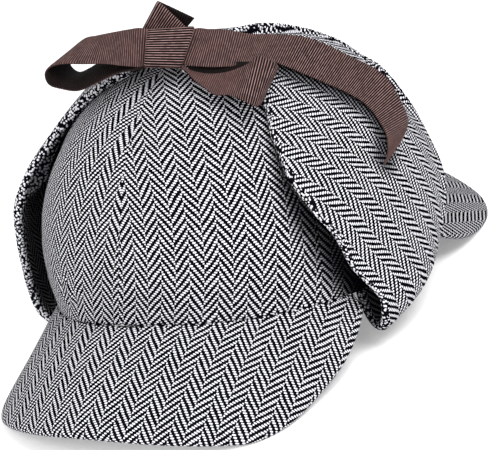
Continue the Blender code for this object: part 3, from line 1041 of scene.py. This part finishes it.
def flap_rows(turn_rows, leg_rows):
    """Places u along a flap, from its seam at 0 to its tip at 1."""
    turn = np.linspace(0, FLAP_TURN_SHARE, turn_rows + 1)[:-1]
    return np.concatenate([turn, np.linspace(FLAP_TURN_SHARE, 1, leg_rows)])


def flap_surface(v, u, left):
    v, u = np.broadcast_arrays(v, u)
    folded = flap_turn(np.clip(u / FLAP_TURN_SHARE, 0, 1), v, left)
    leg = flap_outer_leg(np.maximum(flap_climb(u), 0), v, left)
    return np.where((u < FLAP_TURN_SHARE)[..., None], folded, leg)


def under_bow(points):
    """How deep each point lies in the shade below the bow's long tail and left loop, from 0 to 1."""
    steps = 6
    tail = spline(TAIL_LONG, steps)[TAIL_SHADE_ROW * steps : -steps, 1]
    loop = between(*LOOP_LEFT[LOOP_SHADE_ROW], np.linspace(0, 1, 9)[:, None])
    far = np.full(points.shape[:-1], 1e9)
    for spot in np.concatenate([tail, loop]):
        far = np.minimum(far, np.linalg.norm(points - spot, axis=-1))
    return BOW_SHADE_DEPTH * (1 - soft_step(far, 2.0, BOW_SHADE_REACH))


def make_flap(name, node, mirror, grain, inner_shade, bunched_table):
    sign = -1 if mirror else 1

    def surface(a, u):
        return flap_surface((a + 1) / 2, u, not mirror) * np.array([sign, 1, 1])

    u = flap_rows(FLAP_TURN_ROWS, FLAP_LEG_ROWS)
    rows = surface(np.linspace(-1, 1, WIDTH_SAMPLES)[None, :], u[:, None])
    half_width = half_widths(rows)
    along = lengths_along(rows[:, WIDTH_SAMPLES // 2])
    total = along[-1]
    half = FLAP_THICKNESS / 2
    place, height, arc = [], [], []
    for w in half_width:
        r = min(half, w * 0.4)
        p, h, q = spread(w, r, FLAP_STRIPS, FLAP_EDGE_STEPS)
        place.append(p / w)
        height.append(h)
        arc.append(q)
    a, h, x = np.array(place), np.array(height), np.array(arc)
    ends = np.sqrt(np.clip(1 - (1 - np.clip((total - along) / half, 0, 1)) ** 2, 0, 1))
    starts = np.sin(np.clip(along / 1.0, 0, 1) * math.pi / 2)
    lift_by = h * (ends * starts)[:, None] * half
    uu = np.broadcast_to(u[:, None], a.shape)
    middle = surface(a, uu)
    normal = normals_of(surface, np.clip(a, -0.97, 0.97), np.clip(uu, 4e-3, 0.995), 3e-3)
    # On the outer leg the normals point away from the crown.
    on_leg = (-30, a.shape[1] // 2)
    if np.dot(normal[on_leg], middle[on_leg] - CROWN_CENTRE) < 0:
        normal = -normal
    first, last = x[:, :1], x[:, -1:]
    climb = flap_climb(uu)
    middle = middle + normal * (0.35 * ripple(middle, 18.0, 21 + mirror))[..., None]
    if not mirror:
        hem = smooth_column(HEM_TABLE, climb, 1) * (1 - soft_step(last - x, 3, HEM_WIDTH))
        hollow = soft_step(last - x, 4, HEM_WIDTH)
        hollow = hollow * (1 - soft_step(last - x, HEM_WIDTH + 1, 2.4 * HEM_WIDTH))
        hem = hem - HEM_HOLLOW * hollow * soft_step(climb, 25, 40) * (1 - soft_step(climb, 74, 80))
        middle = middle + normal * hem[..., None]
    outer, inner = both_faces(middle, normal, lift_by)
    from_centre = inner - CROWN_CENTRE
    size = np.linalg.norm(from_centre, axis=-1)
    crown_face = dome_distance(from_centre / size[..., None]) + CROWN_CLOTH / 2
    spare = np.clip(size - crown_face - FLAP_BULGE_GAP, 0, FLAP_BULGE_MOST)
    bulge = spare * h * soft_step(climb, *FLAP_BULGE[:2]) * (1 - soft_step(climb, *FLAP_BULGE[2:]))
    bulge = bulge * (1 - soft_step(x - first, FLAP_BULGE_WIDTH / 2, FLAP_BULGE_WIDTH))
    inner = inner - normal * bulge[..., None]
    # The flap's flat pattern, with its columns at FLAP_GRAIN_LEAN to the front edge.
    net_a = np.linspace(-1, 1, NET_COLUMNS)
    net_u = flap_rows(NET_TURN_ROWS, NET_LEG_ROWS)
    net = surface(net_a[None, :], net_u[:, None])
    start = np.stack(
        [
            np.broadcast_to(net_a[None, :], net.shape[:2]) * np.interp(net_u, u, half_width)[:, None],
            np.broadcast_to(np.interp(net_u, u, along)[:, None], net.shape[:2]),
        ],
        -1,
    )
    flat = relaxed(net, start)
    straight = int(len(net_u) * FLAP_GRAIN_PLACE)
    way = unit(flat[straight + 3, 0] - flat[straight - 3, 0])
    lean = math.radians(FLAP_GRAIN_LEAN)
    square = np.array([[way[1], -way[0]], [way[0], way[1]]])
    turn_flat = np.array([[math.cos(lean), -math.sin(lean)], [math.sin(lean), math.cos(lean)]]) @ square
    flat = (flat - flat[straight, 0]) @ turn_flat.T

    def laid(distance):
        """Flat cloth places for arc places across each row, running on past the edges."""
        share = distance / half_width[:, None]
        inside = np.clip(share, -1, 1)
        column = (inside + 1) / 2 * (len(net_a) - 1)
        row = np.interp(u, net_u, np.arange(len(net_u)))[:, None] + 0 * column
        j = np.clip(column.astype(int), 0, len(net_a) - 2)
        i = np.clip(row.astype(int), 0, len(net_u) - 2)
        fj, fi = (column - j)[..., None], (row - i)[..., None]
        low = flat[i, j] * (1 - fj) + flat[i, j + 1] * fj
        high = flat[i + 1, j] * (1 - fj) + flat[i + 1, j + 1] * fj
        place = low * (1 - fi) + high * fi
        slope = unit((flat[i, j + 1] - flat[i, j]) * (1 - fi) + (flat[i + 1, j + 1] - flat[i + 1, j]) * fi)
        beyond = (share - inside) * half_width[:, None]
        return (place + slope * beyond[..., None]) * np.array([sign, 1]) + np.array(grain)

    from_edge = last - np.abs(x)
    fold = ROLLED_FOLD_SHADE * (1 - soft_step(uu, 0.4 * FLAP_TURN_SHARE, 0.75 * FLAP_TURN_SHARE))
    fold = fold * (1 - soft_step(from_edge, 4.0, 9.0))
    below = fold if mirror else np.maximum(fold, under_bow(outer))
    inner_shade = inner_shade * (1 - soft_step(climb, *FLAP_BULGE[:2]) * (1 - soft_step(x - first, 8, 20)))
    inner_shade = inner_shade * soft_step(from_edge, 0.5, 4.0)
    inner_shade = np.maximum(inner_shade, BULGE_SHADE * soft_step(bulge, *BULGE_DARK))
    rolled = np.where(x < 0, smooth_column(bunched_table, climb, 1), smooth_column(bunched_table, climb, 2))
    bunched = 1 - soft_step(from_edge, rolled, rolled * 1.2 + 1.2)
    piece = closed_skin(
        name, outer, inner, laid(x), laid(2 * first - x), tweed,
        far_inner_uv=laid(2 * last - x),
        shade=(below, np.maximum(fold, inner_shade)),
        rough=(bunched, bunched),
    )
    take_place(piece, node)


make_flap(
    "ear_flap_left", "left_ear_flap", mirror=False, grain=(0.0, 0.0), inner_shade=0.75,
    bunched_table=LEFT_BUNCHED,
)
make_flap(
    "ear_flap_right", "right_ear_flap", mirror=True, grain=(3.0, 2.0), inner_shade=0.5,
    bunched_table=RIGHT_BUNCHED,
)


# ---------------------------------------------------------------- the ribbon


def rib_tree():
    """Geometry Nodes that raise the ribs of the ribbon from its flat strip."""
    tree = bpy.data.node_groups.new("ribbon ribs", "GeometryNodeTree")
    face = tree.interface
    face.new_socket("Geometry", in_out="INPUT", socket_type="NodeSocketGeometry")
    pitch = face.new_socket("Rib pitch", in_out="INPUT", socket_type="NodeSocketFloat")
    height = face.new_socket("Rib height", in_out="INPUT", socket_type="NodeSocketFloat")
    stuff = face.new_socket("Ribbon finish", in_out="INPUT", socket_type="NodeSocketMaterial")
    face.new_socket("Geometry", in_out="OUTPUT", socket_type="NodeSocketGeometry")
    n = Nodes(tree)
    start, end = n.add("NodeGroupInput"), n.add("NodeGroupOutput")

    def named(name, kind="FLOAT"):
        node = n.add("GeometryNodeInputNamedAttribute", data_type=kind)
        node.inputs["Name"].default_value = name
        return node.outputs["Attribute"]

    saw = n.from_middle(n.over(named("along"), start.outputs["Rib pitch"]))
    round_top = n.times(n.math("SQRT", n.minus(0.25, n.times(saw, saw))), 2.0)
    raised = n.times(n.times(round_top, start.outputs["Rib height"]), named("ribbed"))
    move, real = n.add("GeometryNodeSetPosition"), n.add("GeometryNodeRealizeInstances")
    paint = n.add("GeometryNodeSetMaterial")
    n.link(start.outputs["Geometry"], move.inputs["Geometry"])
    n.link(n.vector("SCALE", named("outward", "FLOAT_VECTOR"), scale=raised), move.inputs["Offset"])
    n.link(move.outputs[0], real.inputs[0])
    n.link(real.outputs[0], paint.inputs["Geometry"])
    n.link(start.outputs["Ribbon finish"], paint.inputs["Material"])
    n.link(paint.outputs[0], end.inputs[0])
    return tree, pitch.identifier, height.identifier, stuff.identifier


RIBS, PITCH_INPUT, HEIGHT_INPUT, FINISH_INPUT = rib_tree()


def grow(piece, tree, inputs):
    """Runs a Geometry Nodes tree on a piece and keeps the result as its plain mesh."""
    modifier = piece.modifiers.new(tree.name, "NODES")
    modifier.node_group = tree
    for key, value in inputs.items():
        modifier[key] = value
    bpy.context.view_layer.update()
    graph = bpy.context.evaluated_depsgraph_get()
    grown = bpy.data.meshes.new_from_object(piece.evaluated_get(graph), depsgraph=graph)
    piece.modifiers.remove(modifier)
    old = piece.data
    piece.data = grown
    bpy.data.meshes.remove(old)


RIBBON_SAMPLES = 24
RIBBON_STRIPS = 18
RIBBON_EDGE_STEPS = 3


def make_ribbon(
    name, node, rows, pitch=RIB_PITCH, rib=RIB_HEIGHT,
    shade=(0.0, 0.0), crisp=((0.0, 1.0), (1.0, 1.0)),
):
    """A ribbon strip along rows of (back edge, front edge), with its ribs raised on both faces."""
    edges = spline(rows, RIBBON_SAMPLES)
    along = lengths_along(edges.mean(1))
    total = along[-1]
    count = round(total / pitch)
    places = np.linspace(0, total, count * RIB_STEPS + 1)
    back = np.stack([np.interp(places, along, edges[:, 0, k]) for k in range(3)], -1)
    front = np.stack([np.interp(places, along, edges[:, 1, k]) for k in range(3)], -1)
    width = np.linalg.norm(front - back, axis=-1).mean()
    half = RIBBON_THICKNESS / 2
    place, height, _ = spread(width / 2, half, RIBBON_STRIPS, RIBBON_EDGE_STEPS)
    share = (place / (width / 2) + 1) / 2
    middle = back[:, None] + (front - back)[:, None] * share[None, :, None]
    tangent = np.gradient(middle, axis=0)
    across = (front - back)[:, None] + 0 * middle
    normal = unit(np.cross(across, tangent))
    ends = np.sin(np.clip(np.minimum(places, total - places) / half, 0, 1) * math.pi / 2)
    lift = height[None, :] * ends[:, None] * half
    outer, inner = both_faces(middle, normal, lift)
    v = np.broadcast_to(places[:, None] * (count * RIB_PITCH / total), lift.shape)
    u = np.broadcast_to(place[None, :], lift.shape)
    uv = np.stack([u, v], -1)
    full = np.ones(lift.shape)
    # Crisp sets how high the ribs stand and how strong their painted crest highlight and groove shade are.
    clear = full * np.interp(places / total, *np.array(crisp).T)[:, None]
    selvedge = np.sqrt(np.clip((width / 2 - np.abs(place)) / SELVEDGE_WIDTH, 0, 1))
    ribbed = selvedge[None, :] * ends[:, None] * (height[None, :] > 0.99) * np.minimum(clear, 1)
    # The rib tree reads the last three values from each point.
    piece = closed_skin(
        name, outer, inner, uv, uv, ribbon_stuff,
        shade=(full * shade[0], full * shade[1]), crisp=(clear, clear),
        along=(v * MM, v * MM), ribbed=(ribbed, ribbed), outward=(normal, -normal),
    )
    grow(piece, RIBS, {PITCH_INPUT: RIB_PITCH * MM, HEIGHT_INPUT: rib * MM, FINISH_INPUT: ribbon_stuff})
    for key in ("along", "ribbed", "outward"):
        layer = piece.data.attributes.get(key)
        if layer:
            piece.data.attributes.remove(layer)
    take_place(piece, node)


def knot_rows():
    """The band wrapped once round the middle of the bow, its ends lapped behind."""
    left, right = KNOT_SIDES
    middle = (left.mean(0) + right.mean(0)) / 2
    wide = unit(right.mean(0) - left.mean(0))
    rows = []
    for turn in np.linspace(KNOT_WRAP_START, KNOT_WRAP_END, KNOT_ROWS):
        angle = math.radians(turn)
        c, s = math.cos(angle), math.sin(angle)
        row = []
        for upper, lower in (left, right):
            tall = (upper - lower) / 2
            out = unit(np.cross(wide, tall))
            if np.dot(out, middle) < 0:
                out = -out
            half = np.linalg.norm(tall)
            up = math.copysign(abs(s) ** 0.85, s)
            depth = KNOT_DEPTH / 2 - 0.4 + KNOT_LAP * (turn - KNOT_WRAP_START)
            forth = math.copysign(abs(c) ** 0.75, c) * depth
            row.append((upper + lower) / 2 + unit(tall) * up * (half + 0.3) + out * forth)
        rows.append(row)
    return rows


def tie_rows(side):
    """A tie's rows: over its flap's tip, then into the back of the knot."""
    rows = []
    for climb in np.linspace(TIE_START_CLIMB, TIE_LEAVE_CLIMB, 5):
        row = []
        front, rear = (flap_outer_leg(np.array(climb), np.array(v), side > 0) for v in (0.0, 1.0))
        far = min(1 - TIE_INSET, TIE_INSET + RIBBON_WIDTH / np.linalg.norm(rear - front))
        for v in (TIE_INSET, far):
            place = flap_outer_leg(np.array(climb), np.array(v), side > 0)
            out = unit(place - CROWN_CENTRE)
            place = place + out * (FLAP_THICKNESS / 2 + TIE_LIFT + RIBBON_THICKNESS / 2)
            row.append(place * np.array([side, 1, 1]))
        rows.append(row)
    return rows + [np.array(row) for row in (TIE_LEFT_END if side > 0 else TIE_RIGHT_END)]


make_ribbon(
    "bow_knot", "ribbon_knot", knot_rows(), rib=0.40, pitch=1.15,
    crisp=((0.0, 1.5), (1.0, 1.5)),
)
make_ribbon(
    "bow_tie_left", "ribbon_tie_left", tie_rows(1)
)
make_ribbon(
    "bow_tie_right", "ribbon_tie_right", tie_rows(-1)
)
make_ribbon(
    "bow_tail_long", "ribbon_tail_long", TAIL_LONG,
    crisp=((0.0, 0.7), (0.3, 0.7), (0.42, 1.0), (0.75, 1.0), (0.9, 0.25), (1.0, 0.2)),
)
make_ribbon(
    "bow_tail_short", "ribbon_tail_short", TAIL_SHORT, shade=(0.75, 0)
)
make_ribbon(
    "bow_loop_right", "ribbon_loop_right", LOOP_RIGHT, shade=(0.72, 0),
    crisp=((0.0, 0.65), (1.0, 0.65)),
)
make_ribbon(
    "bow_loop_left", "ribbon_loop_left", LOOP_LEFT, shade=(0, 0.88),
    crisp=((0.0, 0.4), (0.30, 0.4), (0.42, 1.0), (0.62, 1.0), (0.72, 0.5), (1.0, 0.5)),
)


# ---------------------------------------------------------------- floor, light and camera


def make_floor():
    mesh = bpy.data.meshes.new("floor")
    mesh.from_pydata([(-3, -3, 0), (3, -3, 0), (3, 3, 0), (-3, 3, 0)], [], [(0, 1, 2, 3)])
    floor = bpy.data.objects.new("floor", mesh)
    bpy.context.scene.collection.objects.link(floor)
    material = bpy.data.materials.new("pale floor")
    material.use_nodes = True
    shader = material.node_tree.nodes["Principled BSDF"]
    shader.inputs["Base Color"].default_value = (0.93, 0.93, 0.93, 1)
    shader.inputs["Roughness"].default_value = 0.9
    shader.inputs["Emission Color"].default_value = (1, 1, 1, 1)
    shader.inputs["Emission Strength"].default_value = 0.25
    mesh.materials.append(material)
    floor.location.z = -0.0002


def area_light(name, place, target, size, power):
    data = bpy.data.lights.new(name, "AREA")
    data.shape = "SQUARE"
    data.size = size
    data.energy = power
    light = bpy.data.objects.new(name, data)
    light.location = place
    light.rotation_euler = (Vector(target) - Vector(place)).to_track_quat("-Z", "Y").to_euler()
    bpy.context.scene.collection.objects.link(light)


def make_lights():
    world = bpy.data.worlds.new("studio")
    world.use_nodes = True
    background = world.node_tree.nodes["Background"]
    background.inputs["Color"].default_value = (1, 1, 1, 1)
    background.inputs["Strength"].default_value = 0.75
    bpy.context.scene.world = world
    area_light("key", (0.85, -0.15, 1.15), (0, 0, 0.07), 0.7, 15)
    area_light("fill", (0.2, -1.2, 0.85), (0, 0, 0.07), 0.9, 10)


def make_camera():
    back, right, up = (Vector(axis) for axis in camera_axes())
    data = bpy.data.cameras.new("camera")
    data.lens = CAMERA_LENS
    data.sensor_width = CAMERA_SENSOR
    data.sensor_fit = "HORIZONTAL"
    data.clip_start = 0.01
    camera = bpy.data.objects.new("camera", data)
    place = (Vector(CAMERA_AIM) + back * CAMERA_DISTANCE) * MM
    turned = Matrix((right, up, back)).transposed().to_4x4()
    camera.matrix_world = Matrix.Translation(place) @ turned
    bpy.context.scene.collection.objects.link(camera)
    bpy.context.scene.camera = camera


make_floor()
make_lights()
make_camera()
bpy.context.scene.view_settings.view_transform = "Standard"
